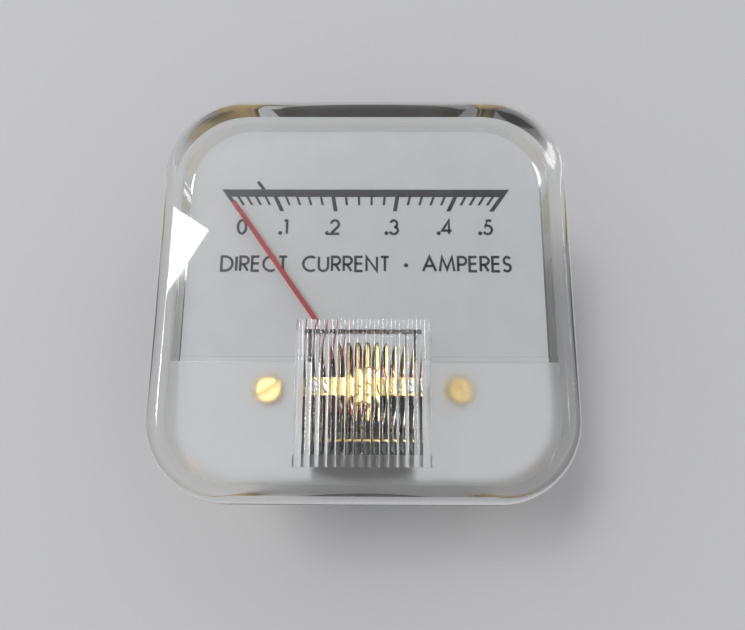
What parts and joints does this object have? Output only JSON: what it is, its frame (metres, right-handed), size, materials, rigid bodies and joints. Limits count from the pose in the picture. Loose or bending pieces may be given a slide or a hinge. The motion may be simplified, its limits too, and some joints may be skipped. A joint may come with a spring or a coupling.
{
  "type": "analog panel meter",
  "caption": "Square clear-fronted moving-coil panel meter: pale dial with straight scale, red pointer, fluted cover block, round rear case, terminals and corner studs.",
  "frame": {"origin": "middle of the cover's back edge plane, which is the panel's face", "axes": "+Z out of the dial towards the reader, +Y up the dial from the pivot to the scale, +X to the reader's right"},
  "size_m": [0.044, 0.044, 0.031],
  "materials": {
    "clear_acrylic": "clear moulded acrylic, frosted inside below the step",
    "gasket": "tan cork and rubber",
    "black_phenolic": "black moulded phenolic",
    "dial_paint": "matt pale grey enamel on aluminium",
    "dial_ink": "matt black print",
    "brass": "plain machined brass",
    "hairspring": "bright phosphor bronze strip",
    "die_cast": "dull die cast metal",
    "steel": "plain steel",
    "soft_iron": "dark annealed soft iron",
    "magnet": "dark cast magnet alloy",
    "aluminium": "thin bright strip",
    "copper": "enamelled copper wire, wound tight",
    "pointer_red": "thin red paint on aluminium",
    "solder": "tinned wire",
    "tinned": "tinned brass",
    "manganin": "dull resistance strip",
    "lead_sleeve": "thin insulating sleeve"
  },
  "bodies": {
    "case": {"front_cover": "clear_acrylic", "rear_flange": "clear_acrylic", "case_gasket": "gasket", "case_barrel": "black_phenolic", "dial_plate": "dial_paint", "scale_print": "dial_ink", "dial_screws": "brass", "dial_posts": "brass", "movement_frame": "die_cast", "frame_screws": "steel", "pole_pieces": "soft_iron", "magnet": "magnet", "core": "soft_iron", "core_support": "brass", "core_screws": "steel", "spring_stud": "brass", "bridge_pillars": "brass", "upper_bridge": "brass", "bridge_screws": "steel", "upper_jewel_screw": "brass", "upper_lock_nut": "brass", "lower_jewel_screw": "brass", "lower_lock_nut": "brass", "stop_wire": "brass", "terminal_studs": "brass", "terminal_nuts": "brass", "terminal_washers": "tinned", "solder_lugs": "tinned", "mounting_studs": "brass", "shunt_strip": "manganin", "lead_wires": "lead_sleeve"},
    "moving_coil": {"coil_former": "aluminium", "coil_winding": "copper", "upper_staff": "steel", "lower_staff": "steel", "pointer": "pointer_red", "balance_cross": "aluminium", "balance_weights": "solder", "upper_hairspring": "hairspring", "lower_hairspring": "hairspring"},
    "zero_adjuster": {"zero_arm": "brass"}
  },
  "joints": [
    {"name": "pointer_swing", "type": "hinge", "parent": "case", "child": "moving_coil", "pos_m": [0, -0.0104, 0], "axis": [0, 0, 1], "range_deg": [-73, 3], "stiffness_Nm_per_rad": 0.00002},
    {"name": "zero_adjust", "type": "hinge", "parent": "case", "child": "zero_adjuster", "pos_m": [0, -0.0104, 0], "axis": [0, 0, 1], "range_deg": [-10, 10]}
  ]
}
